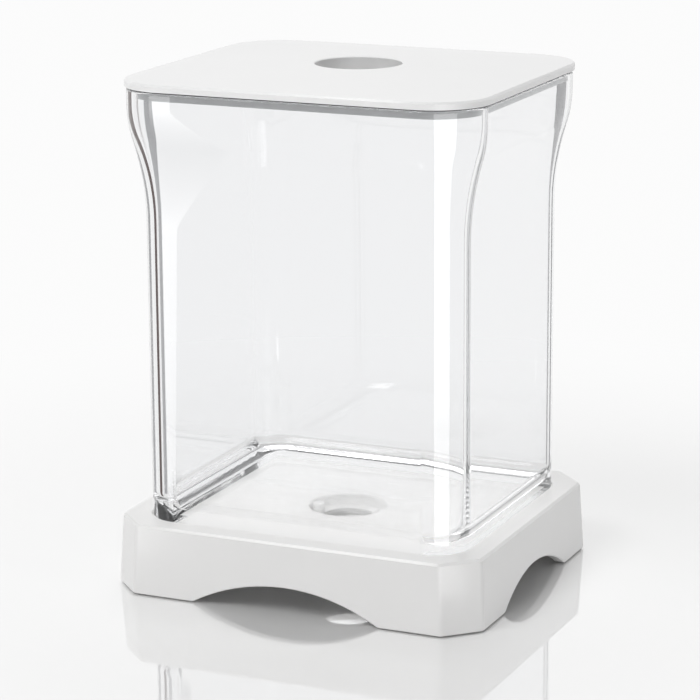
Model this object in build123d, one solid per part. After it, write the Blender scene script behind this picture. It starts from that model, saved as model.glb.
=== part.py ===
from build123d import *
import os
from math import atan2, cos, pi, sin, sqrt

# Small fish tank: a clear moulded tank with a flared mouth, a white base with four arches, and a lift-off lid.
# All sizes are millimetres. +Z is up, the front is -Y, and the origin is on the table under the middle.

# Tank
tank_width = 144.0           # straight lower walls, outside
tank_depth = 124.0
tank_corner_radius = 16.0
tank_wall = 4.0
tank_floor = 3.0
tank_height = 183.6          # underside to rim
foot_bevel = 1.2             # outside, where the walls meet the underside
floor_fillet = 6.0           # inside, where the walls meet the floor
rim_band = 7.0               # upright wall between the flare and the rim
flare_height = 49.0
flare_out = 7.2              # how far each wall steps out at the mouth
flare_inflection = 0.69      # share of the flare's height taken by its lower, larger arc
rim_bevel = 0.6

# Base
base_height = 30.0           # without the pads
base_wall = 4.5
deck_thickness = 3.0
deck_margin = 10.0           # deck edge to the tank's foot
side_flare = 1.5             # how far each side leans out towards the table
corner_cut = 13.5            # leg of the cut-off corners
upright_edge_round = 3.0
deck_edge_bevel = 1.0
bottom_edge_bevel = 0.5
seat_depth = 1.2             # shallow seat that holds the tank's foot
seat_clearance = 0.5
seat_lip_bevel = 0.3
arch_share = 0.6             # arch width as a share of the flat side under it
arch_height = 11.2
arch_end_round = 3.0
rib_thickness = 1.6
rib_depth = 5.0

# Socket in the deck
socket_setback = -7.0        # in front of the middle
socket_diameter = 34.0
socket_depth = 5.2
socket_bore_diameter = 22.5
socket_floor = 3.0           # ledge round the bore, which is open below
socket_wall = 2.4
socket_edge_bevel = 0.5
screw_boss_diameter = 5.0
screw_boss_drop = 1.0        # top of the boss below the seat
screw_boss_circle = 28.0
screw_hole_diameter = 2.2
screw_hole_depth = 5.5

# Pads under the base
pad_diameter = 10.0
pad_thickness = 2.2
pad_proud = 0.6
pad_clearance = 0.2
pad_post_wall = 2.0

# Lid
lid_thickness = 3.0
lid_overhang = 0.8           # past the tank's rim
lid_crown = 2.0              # rise of the lid's middle above its edges
crown_border = 0.5           # how far outside the lid's edges the rise starts
lid_edge_bevel = 0.8
feeding_hole_diameter = 36.6
feeding_hole_setback = 6.0   # behind the middle
feeding_hole_bevel = 0.5
collar_wall = 2.0            # short collar that carries the feeding hole on below the lid
collar_drop = 2.5            # below the lid's flat border
seal_thickness = 0.6
seal_inset = 0.3             # from the rim's outer face
frame_clearance = 0.4        # between the locating frame and the rim
frame_width = 2.6
frame_reach = 3.6            # below the rim
frame_seal_gap = 0.2

# Levels
base_bottom = pad_proud
deck_level = base_bottom + base_height
seat_level = deck_level - seat_depth
ceiling_level = seat_level - deck_thickness
rim_level = seat_level + tank_height
lid_underside = rim_level + seal_thickness
lid_top = lid_underside + lid_thickness
socket_ledge = seat_level - socket_depth
socket_underside = socket_ledge - socket_floor

# Sizes worked out from the tank
flare_start = tank_height - rim_band - flare_height
mouth_width = tank_width + 2 * flare_out
mouth_depth = tank_depth + 2 * flare_out
mouth_radius = tank_corner_radius + flare_out
deck_width = tank_width + 2 * deck_margin
deck_depth = tank_depth + 2 * deck_margin
foot_width = deck_width + 2 * side_flare
foot_depth = deck_depth + 2 * side_flare
pad_inset = base_wall + pad_diameter / 2 + pad_post_wall


def rounded_plate(width, depth, radius, bottom, top):
    # Flat plate with rounded corners between two levels.
    outline = RectangleRounded(width, depth, radius)
    return extrude(Pos(0, 0, bottom) * outline, amount=top - bottom)


def cut_corner_outline(width, depth, corner, level):
    # Rectangle with its corners cut off at 45 degrees.
    x = width / 2
    y = depth / 2
    points = [(x, y - corner), (x - corner, y), (-x + corner, y), (-x, y - corner),
              (-x, -y + corner), (-x + corner, -y), (x - corner, -y), (x, -y + corner)]
    return Pos(0, 0, level) * make_face(Polyline(*points, close=True))


def ring_from_profile(profile, width, depth, radius):
    # Carries a profile round a rounded rectangle. The profile's X is the distance out from that outline.
    path = Plane.XY * RectangleRounded(width, depth, radius).wire()
    start = Plane(origin=(width / 2, 0, 0), x_dir=(1, 0, 0), z_dir=(0, -1, 0))
    return sweep(start * profile, path=path)


def wall_profile():
    # Section of the tank's wall: foot, straight wall, ogee flare and rim outside, and the same moved in inside.
    # The flare is two arcs that meet where the wall leans out the most.
    angle = 2 * atan2(flare_out, flare_height)
    lower_radius = flare_inflection * flare_height / sin(angle)
    upper_radius = (1 - flare_inflection) * flare_height / sin(angle)
    flare_end = flare_start + flare_height
    lower_centre = (lower_radius, flare_start)
    upper_centre = (flare_out - upper_radius, flare_end)
    inner_mouth = flare_out - tank_wall
    floor_end = -tank_wall - floor_fillet
    fillet_top = tank_floor + floor_fillet

    def arc(centre, radius, first, last):
        # First and last are angles from straight out, anticlockwise.
        points = [(centre[0] + radius * cos(a), centre[1] + radius * sin(a)) for a in (first, (first + last) / 2, last)]
        return ThreePointArc(*points)

    outside = [
        Line((floor_end, 0), (-foot_bevel, 0)),
        Line((-foot_bevel, 0), (0, foot_bevel)),
        Line((0, foot_bevel), (0, flare_start)),
        arc(lower_centre, lower_radius, pi, pi - angle),
        arc(upper_centre, upper_radius, -angle, 0),
        Line((flare_out, flare_end), (flare_out, tank_height - rim_bevel)),
        Line((flare_out, tank_height - rim_bevel), (flare_out - rim_bevel, tank_height)),
    ]
    inside = [
        Line((flare_out - rim_bevel, tank_height), (inner_mouth + rim_bevel, tank_height)),
        Line((inner_mouth + rim_bevel, tank_height), (inner_mouth, tank_height - rim_bevel)),
        Line((inner_mouth, tank_height - rim_bevel), (inner_mouth, flare_end)),
        arc(upper_centre, upper_radius - tank_wall, 0, -angle),
        arc(lower_centre, lower_radius + tank_wall, pi - angle, pi),
        Line((-tank_wall, flare_start), (-tank_wall, fillet_top)),
        arc((floor_end, fillet_top), floor_fillet, 0, -pi / 2),
        Line((floor_end, tank_floor), (floor_end, 0)),
    ]
    return make_face(outside + inside)


def tank_body():
    walls = ring_from_profile(wall_profile(), tank_width, tank_depth, tank_corner_radius)
    inset = tank_wall + floor_fillet
    floor = rounded_plate(tank_width - 2 * inset, tank_depth - 2 * inset, tank_corner_radius - inset, 0, tank_floor)
    return Pos(0, 0, seat_level) * (walls + floor)


def arch_cutter(side_width, side_distance):
    # Opening under the side that faces -Y, with its ends eased into the bottom edge.
    half = arch_share * (side_width - 2 * corner_cut) / 2
    radius = (half ** 2 + arch_height ** 2) / (2 * arch_height)
    panel = Pos(0, arch_height) * Rectangle(4 * half, 2 * arch_height)
    remaining = panel - Pos(0, arch_height - radius) * Circle(radius)
    ends = [v for v in remaining.vertices() if abs(v.Y) < 1e-6 and abs(v.X) < 1.5 * half]
    remaining = fillet(ends, arch_end_round)
    below = Pos(0, -base_height / 2) * Rectangle(2 * half, base_height)
    opening = (panel - remaining) + below
    inner_end = side_distance - 3 * base_wall
    upright = Plane(origin=(0, -inner_end, base_bottom), x_dir=(1, 0, 0), z_dir=(0, -1, 0))
    return extrude(upright * opening, amount=4 * base_wall)


def on_outside(point):
    # True near the base's outer sides and cut-off corners.
    x = abs(point.X)
    y = abs(point.Y)
    past_corner = x + y > (foot_width + foot_depth) / 2 - corner_cut - 1
    return x > foot_width / 2 - 1 or y > foot_depth / 2 - 1 or past_corner


def socket_places():
    # The two screw bosses stand left and right of the socket's middle.
    half = screw_boss_circle / 2
    return [Pos(side * half, socket_setback, 0) for side in (-1, 1)]


def pad_places():
    # Pads stand just inside the cut-off corners.
    x = foot_width / 2 - corner_cut / 2 - pad_inset / sqrt(2)
    y = foot_depth / 2 - corner_cut / 2 - pad_inset / sqrt(2)
    names = {"front_left": (-x, -y), "front_right": (x, -y), "back_left": (-x, y), "back_right": (x, y)}
    return names


def cylinder_between(diameter, bottom, top):
    return Pos(0, 0, bottom) * Cylinder(diameter / 2, top - bottom, align=(Align.CENTER, Align.CENTER, Align.MIN))


def base_outside():
    bottom = cut_corner_outline(foot_width, foot_depth, corner_cut, base_bottom)
    top = cut_corner_outline(deck_width, deck_depth, corner_cut, deck_level)
    block = loft([bottom, top], ruled=True)
    uprights = [e for e in block.edges() if e.bounding_box().size.Z > base_height / 2]
    block = fillet(uprights, upright_edge_round)
    deck_edges = block.faces().sort_by(Axis.Z)[-1].edges()
    block = chamfer(deck_edges, deck_edge_bevel)
    for turn in (0, 180):
        block -= Rot(0, 0, turn) * arch_cutter(foot_width, foot_depth / 2)
        block -= Rot(0, 0, turn + 90) * arch_cutter(foot_depth, foot_width / 2)
    # One smooth outline runs round the outside, along the bottom and over the arches.
    highest = base_bottom + arch_height + 1
    outline = [e for e in block.edges() if e.bounding_box().max.Z < highest and on_outside(e.center())]
    return chamfer(outline, bottom_edge_bevel)


def base_hollow():
    # Same form as the outside, moved in by the wall, and open below.
    lean = side_flare * (deck_level - ceiling_level) / base_height
    inner_cut = corner_cut - (2 - sqrt(2)) * base_wall
    bottom = cut_corner_outline(foot_width - 2 * base_wall, foot_depth - 2 * base_wall, inner_cut, base_bottom)
    width = deck_width + 2 * lean - 2 * base_wall
    depth = deck_depth + 2 * lean - 2 * base_wall
    top = cut_corner_outline(width, depth, inner_cut, ceiling_level)
    return loft([bottom, top], ruled=True)


def base_inner_forms():
    # What hangs inside the hollow: the socket's cup, ribs out to the walls, and a post over each pad.
    cup = cylinder_between(socket_diameter + 2 * socket_wall, socket_underside, ceiling_level)
    forms = Pos(0, socket_setback, 0) * cup
    level = ceiling_level - rib_depth / 2
    forms += Pos(0, socket_setback, level) * Box(foot_width, rib_thickness, rib_depth)
    forms += Pos(0, 0, level) * Box(rib_thickness, foot_depth, rib_depth)
    post = cylinder_between(pad_diameter + 2 * pad_clearance + 2 * pad_post_wall, base_bottom, ceiling_level)
    for x, y in pad_places().values():
        forms += Pos(x, y, 0) * post
    return forms


def base_housing():
    outside = base_outside()
    hollow = base_hollow() - base_inner_forms()
    housing = outside - hollow
    seat = rounded_plate(tank_width + 2 * seat_clearance, tank_depth + 2 * seat_clearance,
                         tank_corner_radius + seat_clearance, seat_level, deck_level + 1)
    housing -= seat
    recess = cylinder_between(socket_diameter, socket_ledge, deck_level)
    bore = cylinder_between(socket_bore_diameter, base_bottom, deck_level)
    housing -= Pos(0, socket_setback, 0) * (recess + bore)
    boss_top = seat_level - screw_boss_drop
    boss = cylinder_between(screw_boss_diameter, socket_ledge - socket_floor / 2, boss_top)
    screw_hole = cylinder_between(screw_hole_diameter, boss_top - screw_hole_depth, deck_level)
    for place in socket_places():
        housing += place * boss
        housing -= place * screw_hole
    pocket = cylinder_between(pad_diameter + 2 * pad_clearance, 0, pad_thickness)
    for x, y in pad_places().values():
        housing -= Pos(x, y, 0) * pocket
    lips = [e for e in housing.edges() if abs(e.center().Z - deck_level) < 1e-4
            and e.bounding_box().size.Z < 1e-4]
    lips = [e for e in lips if abs(e.center().X) < tank_width / 2 + 2 * seat_clearance
            and abs(e.center().Y) < tank_depth / 2 + 2 * seat_clearance]
    housing = chamfer(lips, seat_lip_bevel)
    rims = [e for e in housing.edges().filter_by(GeomType.CIRCLE)
            if abs(e.radius - socket_diameter / 2) < 1e-4 and abs(e.center().Z - seat_level) < 1e-4]
    return chamfer(rims, socket_edge_bevel)


def foot_pad(x, y):
    return Pos(x, y, 0) * cylinder_between(pad_diameter, 0, pad_thickness)


def crowned_block(edge_level, thickness):
    # Block whose top rises from straight edges to the crown in the middle, with an underside of the same shape.
    # Raising only the middle point of a three by three Bezier net by four crowns gives that rise.
    x = mouth_width / 2 + lid_overhang + crown_border
    y = mouth_depth / 2 + lid_overhang + crown_border
    middle = edge_level + 4 * lid_crown
    net = [[(-x, -y, edge_level), (-x, 0, edge_level), (-x, y, edge_level)],
           [(0, -y, edge_level), (0, 0, middle), (0, y, edge_level)],
           [(x, -y, edge_level), (x, 0, edge_level), (x, y, edge_level)]]
    return extrude(Face.make_bezier_surface(net), amount=thickness, dir=(0, 0, -1))


def lid_panel():
    # The border stays flat underneath for the seal and the frame. Inside the frame the underside follows the crown.
    width = mouth_width + 2 * lid_overhang
    depth = mouth_depth + 2 * lid_overhang
    panel = rounded_plate(width, depth, mouth_radius + lid_overhang, lid_underside, lid_top + 2 * lid_crown)
    panel = panel & crowned_block(lid_top, lid_thickness + 2 * lid_crown)
    panel = chamfer(panel.faces().sort_by(Axis.Z)[-1].edges(), lid_edge_bevel)
    inset = tank_wall + frame_clearance + frame_width
    under = rounded_plate(mouth_width - 2 * inset, mouth_depth - 2 * inset, mouth_radius - inset,
                          lid_underside, lid_top)
    panel -= under & crowned_block(lid_underside, lid_thickness)
    collar_end = lid_underside - collar_drop
    collar = cylinder_between(feeding_hole_diameter + 2 * collar_wall, collar_end, lid_top)
    panel += Pos(0, feeding_hole_setback, 0) * collar
    hole = cylinder_between(feeding_hole_diameter, collar_end, lid_top + 2 * lid_crown)
    panel -= Pos(0, feeding_hole_setback, 0) * hole
    upper = panel.faces().sort_by(Axis.Z)[-1]
    return chamfer(upper.inner_wires()[0].edges(), feeding_hole_bevel)


def lid_locating_frame():
    # Drops inside the tank's mouth and keeps the lid in place.
    inset = tank_wall + frame_clearance
    bottom = rim_level - frame_reach
    outer = rounded_plate(mouth_width - 2 * inset, mouth_depth - 2 * inset, mouth_radius - inset, bottom, lid_underside)
    inset += frame_width
    inner = rounded_plate(mouth_width - 2 * inset, mouth_depth - 2 * inset, mouth_radius - inset, bottom, lid_underside)
    return outer - inner


def lid_seal():
    # Thin flat ring that lies on the rim, round the locating frame.
    outer = rounded_plate(mouth_width - 2 * seal_inset, mouth_depth - 2 * seal_inset, mouth_radius - seal_inset,
                          rim_level, lid_underside)
    inset = tank_wall + frame_clearance - frame_seal_gap
    inner = rounded_plate(mouth_width - 2 * inset, mouth_depth - 2 * inset, mouth_radius - inset,
                          rim_level, lid_underside)
    return outer - inner


def build():
    parts = {"base_housing": base_housing(), "tank_body": tank_body(), "lid_panel": lid_panel(),
             "lid_locating_frame": lid_locating_frame(), "lid_seal": lid_seal()}
    for corner, (x, y) in pad_places().items():
        parts["foot_pad_" + corner] = foot_pad(x, y)
    return parts


os.makedirs("parts", exist_ok=True)
for name, shape in build().items():
    solids = shape.solids()
    whole = solids[0] if len(solids) == 1 else Compound(children=list(solids))
    export_step(whole, "parts/" + name + ".step")
    box = shape.bounding_box()
    print(name, len(solids), "solids", round(shape.volume), "mm3", box.min, box.max)
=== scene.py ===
from math import atan2, cos, pi, radians, sin

import bpy
import numpy as np
from mathutils import Matrix, Vector


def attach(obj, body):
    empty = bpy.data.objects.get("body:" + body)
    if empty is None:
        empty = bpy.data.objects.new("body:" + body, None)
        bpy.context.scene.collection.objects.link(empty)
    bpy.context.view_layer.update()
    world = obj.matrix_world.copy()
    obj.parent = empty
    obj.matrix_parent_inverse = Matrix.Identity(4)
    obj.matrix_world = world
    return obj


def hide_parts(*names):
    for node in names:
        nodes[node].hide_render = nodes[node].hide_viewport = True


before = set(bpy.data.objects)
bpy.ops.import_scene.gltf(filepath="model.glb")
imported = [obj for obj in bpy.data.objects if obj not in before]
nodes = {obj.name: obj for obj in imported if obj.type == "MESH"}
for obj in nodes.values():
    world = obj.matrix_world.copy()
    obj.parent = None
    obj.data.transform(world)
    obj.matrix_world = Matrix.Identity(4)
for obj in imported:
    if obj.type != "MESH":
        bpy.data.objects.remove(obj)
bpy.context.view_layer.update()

# A small clear fish tank with a flared mouth, on a white base with arched sides, under a lift-off lid.
# Lengths are metres, and azimuths are 0 towards the front and grow towards the right.
# Sizes that the CAD part also has repeat its values, apart from the floor's fillet.

mm = 0.001

# Tank
tank_width = 144.0 * mm
tank_depth = 124.0 * mm
tank_corner_radius = 16.0 * mm
tank_wall = 4.0 * mm
tank_floor = 3.0 * mm
tank_height = 183.6 * mm
foot_round = 1.0 * mm
floor_fillet = 8.4 * mm       # 6 mm on the CAD part, which was finished before this was measured
rim_band = 7.0 * mm
flare_height = 49.0 * mm
flare_start = tank_height - rim_band - flare_height
flare_out = 7.2 * mm
flare_inflection = 0.69
rim_round = 0.8 * mm
seat_level = 29.4 * mm
contact_gap = 0.05 * mm       # air between the acrylic and what it touches, so that the faces stay apart
tank_lift_travel = 60.0 * mm

# Feeding hole in the lid
feeding_hole_middle = (0.0, 6.0 * mm)
feeding_hole_radius = 18.3 * mm

# Socket in the deck
socket_middle = (0.0, -7.0 * mm)
bore_radius = 11.25 * mm
bore_top = 24.2 * mm
bore_length = 3.0 * mm
thread_pitch = 1.3 * mm
thread_height = 0.4 * mm
thread_root = 0.05 * mm       # how far the ridge reaches into the bore's wall
thread_half_width = 0.36      # share of the pitch
thread_fade = 12              # the ridge is at full height after one part in so many of its length

# How finely curves are cut
foot_points = 9
lower_curve_points = 24
upper_curve_points = 20
rim_points = 8
fillet_points = 14
corner_steps = 28
thread_steps = 96             # in one turn
thread_ridge_points = 7
shortest_edge = 0.0001 * mm


# Meshes

def mesh_object(name, vertices, faces, normals=None):
    """One smooth object at the origin from vertex and face lists, with vertex normals if they are given."""
    mesh = bpy.data.meshes.new(name)
    mesh.from_pydata(vertices.tolist(), [], faces)
    mesh.polygons.foreach_set("use_smooth", np.ones(len(mesh.polygons), bool))
    mesh.update()
    if normals is not None:
        mesh.normals_split_custom_set_from_vertices(normals.tolist())
    made = bpy.data.objects.new(name, mesh)
    bpy.context.scene.collection.objects.link(made)
    return made


def grid_faces(rings, points):
    """Quads between neighbours of a grid of rings by points. Each ring closes on itself."""
    ring = np.arange(rings - 1)[:, None]
    point = np.arange(points)[None, :]
    next_ring = ring + 1
    next_point = (point + 1) % points
    quads = np.stack([ring * points + point, ring * points + next_point,
                      next_ring * points + next_point, next_ring * points + point], axis=-1)
    return quads.reshape(-1, 4).tolist()


def arc(centre, radius, first, last, count, side):
    """Points of an arc between two angles, and normals: away from the centre if side is 1, else to it."""
    angle = np.linspace(first, last, count)
    spoke = np.stack([np.cos(angle), np.sin(angle)], axis=1)
    return np.array(centre) + radius * spoke, side * spoke


def wall_section():
    """The tank wall's outline as distance out and height, from the underside over the rim to the floor.

    Every stretch is straight or an arc and runs smoothly into the next, so that each point has one normal.
    """
    angle = 2 * atan2(flare_out, flare_height)
    lower_radius = flare_inflection * flare_height / sin(angle)
    upper_radius = (1 - flare_inflection) * flare_height / sin(angle)
    flare_end = flare_start + flare_height
    lower_centre = (lower_radius, flare_start)
    upper_centre = (flare_out - upper_radius, flare_end)
    inner_mouth = flare_out - tank_wall
    floor_end = -tank_wall - floor_fillet
    rim = tank_height - 2 * contact_gap
    quarter = pi / 2
    stretches = [
        (np.array([[floor_end, 0.0]]), np.array([[0.0, -1.0]])),
        arc((-foot_round, foot_round), foot_round, -quarter, 0, foot_points, 1),
        arc(lower_centre, lower_radius, pi, pi - angle, lower_curve_points, -1),
        arc(upper_centre, upper_radius, -angle, 0, upper_curve_points, 1),
        arc((flare_out - rim_round, rim - rim_round), rim_round, 0, quarter, rim_points, 1),
        arc((inner_mouth + rim_round, rim - rim_round), rim_round, quarter, pi, rim_points, 1),
        arc(upper_centre, upper_radius - tank_wall, 0, -angle, upper_curve_points, -1),
        arc(lower_centre, lower_radius + tank_wall, pi - angle, pi, lower_curve_points, 1),
        arc((floor_end, tank_floor + floor_fillet), floor_fillet, 0, -quarter, fillet_points, -1),
    ]
    points = np.concatenate([stretch[0] for stretch in stretches])
    normals = np.concatenate([stretch[1] for stretch in stretches])
    distinct = np.append(True, np.linalg.norm(np.diff(points, axis=0), axis=1) > shortest_edge)
    return points[distinct], normals[distinct]


def rounded_rectangle(width, depth, radius):
    """Corner centre and spoke for each point round a rounded rectangle, anticlockwise from +X."""
    turns = np.arange(4)[:, None] * pi / 2
    angle = turns + np.linspace(0, pi / 2, corner_steps + 1)[None, :]
    diagonal = turns + pi / 4
    x = np.broadcast_to(np.sign(np.cos(diagonal)) * (width / 2 - radius), angle.shape)
    y = np.broadcast_to(np.sign(np.sin(diagonal)) * (depth / 2 - radius), angle.shape)
    centres = np.stack([x.ravel(), y.ravel()], axis=1)
    spokes = np.stack([np.cos(angle).ravel(), np.sin(angle).ravel()], axis=1)
    return centres, spokes


def tank_shell():
    """The clear tank: the wall's section carried round a rounded rectangle, closed by a flat floor.

    A point is its corner's centre, plus the corner radius and the distance out along the spoke, plus the
    height.
    """
    section, section_normals = wall_section()
    centres, spokes = rounded_rectangle(tank_width, tank_depth, tank_corner_radius)
    out = tank_corner_radius + section[:, None, 0]
    flat = centres[None, :, :] + out[..., None] * spokes[None, :, :]
    height = np.broadcast_to(section[:, None, 1] + seat_level + contact_gap, flat.shape[:2])
    vertices = np.dstack([flat, height]).reshape(-1, 3)
    sideways = section_normals[:, None, 0, None] * spokes[None, :, :]
    upright = np.broadcast_to(section_normals[:, None, 1], flat.shape[:2])
    normals = np.dstack([sideways, upright]).reshape(-1, 3)
    rings, points = flat.shape[:2]
    faces = grid_faces(rings, points)
    faces.append(list(range(points))[::-1])
    faces.append(list(range((rings - 1) * points, rings * points)))
    return mesh_object("tank_shell", vertices, faces, normals)


def socket_thread():
    """A ridge that winds down the socket's bore: a rounded section along a helix, fading at both ends."""
    turns = (bore_length - thread_pitch) / thread_pitch
    along = np.linspace(0, 1, int(thread_steps * turns) + 1)
    angle = 2 * pi * turns * along
    swell = np.clip(np.minimum(along, 1 - along) * thread_fade, 0, 1)
    level = bore_top - thread_pitch / 2 - along * (bore_length - thread_pitch)
    ridge = np.linspace(0, pi, thread_ridge_points)
    rise = swell[:, None] * (thread_height + thread_root) * np.sin(ridge)[None, :]
    radius = bore_radius + thread_root - rise
    height = level[:, None] - thread_pitch * thread_half_width * np.cos(ridge)[None, :]
    x = socket_middle[0] + radius * np.cos(angle)[:, None]
    y = socket_middle[1] + radius * np.sin(angle)[:, None]
    vertices = np.dstack([x, y, height]).reshape(-1, 3)
    rings, points = x.shape
    faces = grid_faces(rings, points)
    faces.append(list(range(points)))
    faces.append(list(range((rings - 1) * points, rings * points))[::-1])
    return mesh_object("socket_thread", vertices, faces)


# Steps that materials are made of

def fill(tree, socket, value):
    """Links a socket to the output of another node, or writes a plain value on it."""
    if isinstance(value, bpy.types.NodeSocket):
        tree.links.new(value, socket)
    else:
        socket.default_value = value


def step(tree, kind, operation, *values):
    """A Math or Vector Math node with its first inputs filled."""
    node = tree.nodes.new(kind)
    node.operation = operation
    for socket, value in zip(node.inputs, values):
        fill(tree, socket, value)
    return node


def number(tree, operation, *values):
    """The result of one Math node."""
    return step(tree, "ShaderNodeMath", operation, *values).outputs[0]


def vector(tree, operation, *values):
    """The result of one Vector Math node."""
    return step(tree, "ShaderNodeVectorMath", operation, *values).outputs["Vector"]


def length(tree, place):
    """The length of a vector."""
    return step(tree, "ShaderNodeVectorMath", "LENGTH", place).outputs["Value"]


def scaled(tree, colour, share):
    """A colour times a number."""
    node = step(tree, "ShaderNodeVectorMath", "SCALE", colour)
    fill(tree, node.inputs["Scale"], share)
    return node.outputs["Vector"]


def combined(tree, operation, values):
    """Math nodes that combine several values by one operation."""
    total = values[0]
    for value in values[1:]:
        total = number(tree, operation, total, value)
    return total


def ramp(tree, value, low, high, first, last, interpolation="LINEAR"):
    """Turns a value's place between two limits into a place between two others."""
    node = tree.nodes.new("ShaderNodeMapRange")
    node.interpolation_type = interpolation
    titles = ("Value", "From Min", "From Max", "To Min", "To Max")
    for title, given in zip(titles, (value, low, high, first, last)):
        fill(tree, node.inputs[title], given)
    return node.outputs["Result"]


def window(tree, value, low, high):
    """1 where a value lies between two limits, else 0."""
    above = number(tree, "GREATER_THAN", value, low)
    below = number(tree, "LESS_THAN", value, high)
    return number(tree, "MULTIPLY", above, below)


def blend(tree, share, first, second):
    """The first shader where the share is 0, the second where it is 1."""
    node = tree.nodes.new("ShaderNodeMixShader")
    for socket, value in zip(node.inputs, (share, first, second)):
        fill(tree, socket, value)
    return node.outputs[0]


def glow(tree, colour, strength=1.0):
    """Light of one colour."""
    node = tree.nodes.new("ShaderNodeEmission")
    fill(tree, node.inputs["Color"], colour)
    fill(tree, node.inputs["Strength"], strength)
    return node.outputs[0]


def grey(tone):
    """An opaque colour with the same value in each channel."""
    return (tone, tone, tone, 1)


def place_on_piece(tree):
    """Where a shaded point lies on its piece."""
    return tree.nodes.new("ShaderNodeTexCoord").outputs["Object"]


def noise(tree, scale, detail):
    """Cloudy noise that stays with the piece."""
    node = tree.nodes.new("ShaderNodeTexNoise")
    fill(tree, node.inputs["Vector"], place_on_piece(tree))
    fill(tree, node.inputs["Scale"], scale)
    fill(tree, node.inputs["Detail"], detail)
    return node.outputs["Fac"]


def any_ray(tree, *kinds):
    """1 for rays of any of the named kinds, else 0."""
    path = tree.nodes.new("ShaderNodeLightPath")
    return combined(tree, "MAXIMUM", [path.outputs[kind] for kind in kinds])


def seen_directly(tree):
    """1 for rays from the camera, from gloss and through clear material, else 0."""
    return any_ray(tree, "Is Camera Ray", "Is Glossy Ray", "Is Transmission Ray")


def new_material(name):
    """A material, its tree of nodes and its shader."""
    material = bpy.data.materials.new(name)
    material.use_nodes = True
    tree = material.node_tree
    return material, tree, tree.nodes["Principled BSDF"]


def give(obj, material):
    """Puts one material in every slot of an object."""
    if not obj.data.materials:
        obj.data.materials.append(material)
    for index in range(len(obj.data.materials)):
        obj.data.materials[index] = material
    for place in obj.material_slots:
        place.material = material


# Plastics

cloud_scale = 22.0
cloud_detail = 3.0
grain_scale = 900.0
grain_detail = 2.0
noise_middle = 0.5
tone_spread = 0.03
gloss_spread = 0.05
grain_depth = 0.2 * mm
plastic_ior = 1.5
coat_roughness = 0.08


def moulded_grain():
    """Group for moulded plastic: a slight cloudiness of tone, uneven gloss and an orange-peel height."""
    group = bpy.data.node_groups.new("moulded_grain", "ShaderNodeTree")
    for title, way in (("Gloss", "INPUT"), ("Tone", "OUTPUT"), ("Roughness", "OUTPUT"), ("Height", "OUTPUT")):
        group.interface.new_socket(title, in_out=way, socket_type="NodeSocketFloat")
    given = group.nodes.new("NodeGroupInput")
    result = group.nodes.new("NodeGroupOutput")
    cloud = number(group, "SUBTRACT", noise(group, cloud_scale, cloud_detail), noise_middle)
    height = noise(group, grain_scale, grain_detail)
    grain = number(group, "SUBTRACT", height, noise_middle)
    fill(group, result.inputs["Tone"], number(group, "MULTIPLY_ADD", cloud, tone_spread, 1.0))
    roughness = number(group, "MULTIPLY_ADD", grain, gloss_spread, given.outputs["Gloss"])
    fill(group, result.inputs["Roughness"], roughness)
    fill(group, result.inputs["Height"], height)
    return group


def plastic(name, colour, gloss, bump=0.02, coat=0.0):
    """Moulded plastic or rubber: its colour times the grain's tone, the grain's gloss and a faint bump."""
    material, tree, shader = new_material(name)
    grain = tree.nodes.new("ShaderNodeGroup")
    grain.node_tree = grain_group
    grain.inputs["Gloss"].default_value = gloss
    relief = tree.nodes.new("ShaderNodeBump")
    relief.inputs["Strength"].default_value = bump
    relief.inputs["Distance"].default_value = grain_depth
    fill(tree, relief.inputs["Height"], grain.outputs["Height"])
    fill(tree, shader.inputs["Base Color"], scaled(tree, colour, grain.outputs["Tone"]))
    fill(tree, shader.inputs["Roughness"], grain.outputs["Roughness"])
    fill(tree, shader.inputs["Normal"], relief.outputs["Normal"])
    shader.inputs["IOR"].default_value = plastic_ior
    shader.inputs["Coat Weight"].default_value = coat
    shader.inputs["Coat Roughness"].default_value = coat_roughness
    return material


def paint_hole_shade(material, middle, radius, share):
    """Paints shade into a plastic's colour inside a round upright hole, scaling the colour by the share
    there, as painted shade on the hole's wall.
    """
    tree = material.node_tree
    shader = tree.nodes["Principled BSDF"]
    colour = shader.inputs["Base Color"].links[0].from_socket
    offset = vector(tree, "SUBTRACT", place_on_piece(tree), (*middle, 0))
    distance = length(tree, vector(tree, "MULTIPLY", offset, (1, 1, 0)))
    # painted shade: the colour is darker inside the hole's radius, at every height
    tone = ramp(tree, window(tree, distance, 0.0, radius), 0.0, 1.0, 1.0, share)
    fill(tree, shader.inputs["Base Color"], scaled(tree, colour, tone))


# Clear acrylic

acrylic_tint = (0.952, 0.955, 0.96, 1)
acrylic_ior = 1.49
absorption_colour = (0.76, 0.765, 0.77, 1)
absorption_density = 6.0
floor_alpha = 0.12
floor_mask_margin = 0.5 * mm
light_let_in = 1.06
haze_scale = 35.0
haze_detail = 4.0
haze_low = 0.45
haze_high = 0.8
haze_roughness = 0.012


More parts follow.
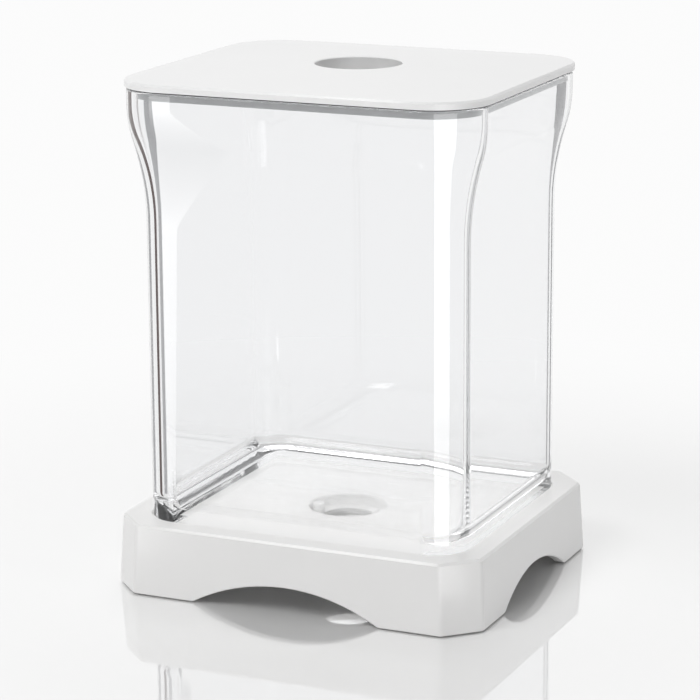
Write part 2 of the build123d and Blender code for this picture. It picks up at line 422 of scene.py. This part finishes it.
def clear_acrylic():
    """Polished clear acrylic: plain transmission, with faint handling haze in its roughness.

    The flat middle of the floor and the foot of the front wall are looked through at a low angle. They are
    partly see-through by Alpha, so that the deck behind them stays as plain to see as in a real tank.
    """
    material, tree, shader = new_material("clear_acrylic")
    haze = ramp(tree, noise(tree, haze_scale, haze_detail), haze_low, haze_high, 0.0, haze_roughness)
    axes = tree.nodes.new("ShaderNodeSeparateXYZ")
    fill(tree, axes.inputs[0], place_on_piece(tree))
    x, y, z = axes.outputs
    inset = tank_wall + floor_fillet
    flat_width = tank_width / 2 - tank_corner_radius
    floor_mask = combined(tree, "MULTIPLY", [
        window(tree, x, inset - tank_width / 2, tank_width / 2 - inset),
        window(tree, y, inset - tank_depth / 2, tank_depth / 2 - inset),
        window(tree, z, 0.0, seat_level + tank_floor + floor_mask_margin)])
    foot_mask = combined(tree, "MULTIPLY", [
        window(tree, x, -flat_width, flat_width),
        window(tree, y, -tank_depth, inset - tank_depth / 2),
        ramp(tree, z, seat_level + inset, seat_level + 2 * inset, 1.0, 0.0)])
    see_through = number(tree, "MAXIMUM", floor_mask, foot_mask)
    fill(tree, shader.inputs["Roughness"], haze)
    fill(tree, shader.inputs["Alpha"], ramp(tree, see_through, 0.0, 1.0, 1.0, floor_alpha))
    shader.inputs["Base Color"].default_value = acrylic_tint
    shader.inputs["IOR"].default_value = acrylic_ior
    shader.inputs["Transmission Weight"].default_value = 1.0
    absorption = tree.nodes.new("ShaderNodeVolumeAbsorption")
    absorption.inputs["Color"].default_value = absorption_colour
    absorption.inputs["Density"].default_value = absorption_density
    # Light that goes on to a plain surface passes straight through, so that the deck isn't in the dark. Its
    # colour above 1 adds a little light at each crossing, as painted light on what lies behind the acrylic.
    passing = tree.nodes.new("ShaderNodeBsdfTransparent")
    passing.inputs["Color"].default_value = grey(light_let_in)
    plain_light = any_ray(tree, "Is Shadow Ray", "Is Diffuse Ray")
    result = tree.nodes["Material Output"]
    fill(tree, result.inputs["Volume"], absorption.outputs[0])
    fill(tree, result.inputs["Surface"], blend(tree, plain_light, shader.outputs[0], passing.outputs[0]))
    return material


# The object

hole_margin = 0.15 * mm       # the facets of a round hole's wall lie a little off its true radius
# Painted shade on the feeding hole's wall: the lid's colour is scaled by this inside the hole
feeding_hole_painted_shade = 0.62
# Painted shade in the socket's bore and on its thread: the base's colour is scaled by this there
bore_painted_shade = 0.4

grain_group = moulded_grain()
base_white = plastic("base_white", (0.76, 0.757, 0.752), gloss=0.26, coat=0.25)
lid_white = plastic("lid_white", (0.8, 0.8, 0.8), gloss=0.32, coat=0.1)
# The locating frame is moulded in white like the lid; its grey is painted shade for where it sits under the
# lid.
frame_grey_painted_shade = plastic("frame_grey_painted_shade", (0.42, 0.43, 0.44), gloss=0.3)
# The seal is black silicone, and its near-black also paints the shade of the gap between the lid and the rim.
seal_black_and_gap_shade = plastic("seal_black_and_gap_shade", (0.03, 0.03, 0.032), gloss=0.5, bump=0.1)
pad_dark = plastic("pad_dark", (0.03, 0.03, 0.03), gloss=0.6, bump=0.15)
# Painted shade on the feeding hole's wall
paint_hole_shade(lid_white, feeding_hole_middle, feeding_hole_radius + hole_margin, feeding_hole_painted_shade)
# Painted shade in the socket's bore, which the thread shares through its material
paint_hole_shade(base_white, socket_middle, bore_radius + hole_margin, bore_painted_shade)

give(nodes["base_housing"], base_white)
give(nodes["lid_panel"], lid_white)
give(nodes["lid_locating_frame"], frame_grey_painted_shade)
give(nodes["lid_seal"], seal_black_and_gap_shade)
for name in nodes:
    if name.startswith("foot_pad"):
        give(nodes[name], pad_dark)

shell = tank_shell()
give(shell, clear_acrylic())
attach(shell, "tank")
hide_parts("tank_body")

thread = socket_thread()
give(thread, base_white)
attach(thread, "base")


# Camera: where the photograph was taken from

camera_distance = 1.20555
camera_height = 0.39799
camera_azimuth = radians(24.05)
camera_heading = radians(24.14)
camera_pitch = radians(-14.06)
camera_roll = radians(-0.35)
camera_lens = 149.92          # millimetres on the sensor below
sensor_width = 36.0
nearest_seen = 0.05
farthest_seen = 50.0

forward = Vector((-sin(camera_heading) * cos(camera_pitch), cos(camera_heading) * cos(camera_pitch),
                  sin(camera_pitch)))
level_right = Vector((cos(camera_heading), sin(camera_heading), 0))
level_up = level_right.cross(forward)
right = level_right * cos(camera_roll) + level_up * sin(camera_roll)
up = level_up * cos(camera_roll) - level_right * sin(camera_roll)
turn = Matrix((right, up, -forward)).transposed()
stand = Vector((camera_distance * sin(camera_azimuth), -camera_distance * cos(camera_azimuth), camera_height))
camera = bpy.data.objects.new("camera", bpy.data.cameras.new("camera"))
camera.data.lens = camera_lens
camera.data.sensor_width = sensor_width
camera.data.clip_start = nearest_seen
camera.data.clip_end = farthest_seen
camera.matrix_world = Matrix.Translation(stand) @ turn.to_4x4()
bpy.context.scene.collection.objects.link(camera)
bpy.context.scene.camera = camera


# Table and room

table_radii = (0.12, 0.3, 0.6, 1.2, 2.5, 6.0)
table_sides = 48
floor_tone = 0.95
floor_mirror = 0.45
floor_roughness = 0.03
floor_ior = 1.5
backdrop_tone = 0.97
fade_start = 0.12
fade_end = 0.42
ambient_level = 0.45


def table_top():
    """Flat round table, as rings of points about the origin."""
    radii = np.array(table_radii)[:, None]
    angle = np.linspace(0, 2 * pi, table_sides, endpoint=False)[None, :]
    x = radii * np.cos(angle)
    y = radii * np.sin(angle)
    vertices = np.dstack([x, y, np.zeros_like(x)]).reshape(-1, 3)
    faces = [quad[::-1] for quad in grid_faces(len(table_radii), table_sides)]
    faces.append(list(range(table_sides)))
    return mesh_object("floor", vertices, faces)


def floor_material():
    """White glossy table top that fades into the white backdrop away from the object."""
    material, tree, shader = new_material("floor_white")
    shader.inputs["Base Color"].default_value = grey(floor_tone)
    shader.inputs["Roughness"].default_value = floor_roughness
    shader.inputs["Metallic"].default_value = floor_mirror
    shader.inputs["IOR"].default_value = floor_ior
    distance = length(tree, place_on_piece(tree))
    fade = ramp(tree, distance, fade_start, fade_end, 0.0, 1.0, "SMOOTHSTEP")
    share = number(tree, "MULTIPLY", fade, seen_directly(tree))
    surface = blend(tree, share, shader.outputs[0], glow(tree, grey(backdrop_tone)))
    fill(tree, tree.nodes["Material Output"].inputs["Surface"], surface)
    return material


def studio_world():
    """Soft white room: a plain level on the object, and white where it is seen directly."""
    world = bpy.data.worlds.new("studio")
    world.use_nodes = True
    tree = world.node_tree
    ambient = tree.nodes["Background"]
    ambient.inputs["Color"].default_value = grey(1)
    ambient.inputs["Strength"].default_value = ambient_level
    seen = tree.nodes.new("ShaderNodeBackground")
    seen.inputs["Color"].default_value = grey(backdrop_tone)
    surface = blend(tree, seen_directly(tree), ambient.outputs[0], seen.outputs[0])
    fill(tree, tree.nodes["World Output"].inputs["Surface"], surface)
    return world


floor = table_top()
give(floor, floor_material())
bpy.context.scene.world = studio_world()


# Lamps and cards

lamp_aim = (0.0, 0.0, 0.1)
front_left = (-56.0 * mm, -62.0 * mm)
front_right = (64.0 * mm, -56.0 * mm)
table_light_lift = 1.0 * mm
table_light_near = 95.0 * mm
table_light_far = 1.4
table_light_points = 9


def softbox(name, position, width, height, power):
    """A rectangular lamp that faces the object. The camera doesn't see it."""
    lamp = bpy.data.lights.new(name, "AREA")
    lamp.shape = "RECTANGLE"
    lamp.size = width
    lamp.size_y = height
    lamp.energy = power
    made = bpy.data.objects.new(name, lamp)
    made.location = position
    made.rotation_euler = (Vector(lamp_aim) - Vector(position)).to_track_quat("-Z", "Y").to_euler()
    made.visible_camera = False
    bpy.context.scene.collection.objects.link(made)


def direction(azimuth):
    """Flat direction for an azimuth in degrees."""
    return np.array([sin(radians(azimuth)), -cos(radians(azimuth))])


def card_glow(name, colour, tone, louvre):
    """A surface that shows one tone from its front and nothing from its back.

    A louvre above 0 makes it fade when it is looked at squarely, as slats do.
    """
    material, tree, shader = new_material(name)
    tree.nodes.remove(shader)
    facing = tree.nodes.new("ShaderNodeLayerWeight").outputs["Facing"]
    strength = number(tree, "MULTIPLY", number(tree, "POWER", facing, louvre), tone)
    back = tree.nodes.new("ShaderNodeNewGeometry").outputs["Backfacing"]
    nothing = tree.nodes.new("ShaderNodeBsdfTransparent").outputs[0]
    surface = blend(tree, back, glow(tree, (*colour, 1), strength), nothing)
    fill(tree, tree.nodes["Material Output"].inputs["Surface"], surface)
    return material


def studio_card(name, corners, colour, tone, louvre):
    """A flat card that only gloss and clear material show, by its corners, anticlockwise from its front."""
    card = mesh_object(name, np.array(corners), [list(range(len(corners)))])
    give(card, card_glow(name, colour, tone, louvre))
    card.visible_camera = False
    card.visible_diffuse = False
    card.visible_shadow = False
    return card


def flag(name, start, first, last, distance, colour):
    """A thin dark card beside the tank that spans two azimuths seen from a point.

    It is as high as the wall of the tank when that is lifted out of its seat.
    """
    left = np.array(start) + distance * direction(first)
    right = np.array(start) + distance * direction(last)
    foot = seat_level + contact_gap
    top = seat_level + tank_height + tank_lift_travel
    corners = [(*left, foot), (*left, top), (*right, top), (*right, foot)]
    card = studio_card(name, corners, colour, tone=1.0, louvre=0.0)
    card.visible_glossy = False


def table_light(name, corner, first, last, tone, louvre):
    """A light that lies on the table: a sector between two azimuths, seen from a corner of the tank."""
    azimuths = np.linspace(first, last, table_light_points)
    corners = []
    for distance, order in ((table_light_far, azimuths), (table_light_near, azimuths[::-1])):
        for azimuth in order:
            corners.append((*(np.array(corner) + distance * direction(azimuth)), table_light_lift))
    card = studio_card(name, corners, (1, 1, 1), tone, louvre)
    card.visible_transmission = False


flag("left_flag", (-68.0 * mm, -56.6 * mm), first=-108, last=-86, distance=10.0 * mm,
     colour=(0.05, 0.02, 0.015))
flag("back_left_flag", (-70.0 * mm, -50.0 * mm), first=-152, last=-126, distance=13.0 * mm,
     colour=(0.3, 0.3, 0.31))
flag("back_right_flag", (66.0 * mm, 58.0 * mm), first=-200, last=-168, distance=12.0 * mm,
     colour=(0.1, 0.1, 0.11))
table_light("front_panel", front_right, first=20, last=66, tone=5.0, louvre=0.0)
table_light("left_panel", front_left, first=-46, last=-27.3, tone=8.0, louvre=3.0)
softbox("key_box", (-0.5, -1.1, 1.5), width=1.0, height=1.0, power=15.5)
softbox("back_box", (-0.3, 1.2, 1.75), width=1.2, height=1.0, power=10.0)
softbox("right_strip", (1.5, -0.2, 0.45), width=0.35, height=0.9, power=2.0)


# Light paths: clear walls and the mirror in the table need many bounces

clear_bounces = 64
plain_bounces = 6
cycles = bpy.context.scene.cycles
cycles.max_bounces = clear_bounces
cycles.transmission_bounces = clear_bounces
cycles.glossy_bounces = clear_bounces
cycles.diffuse_bounces = plain_bounces
bpy.context.scene.view_settings.view_transform = "Standard"
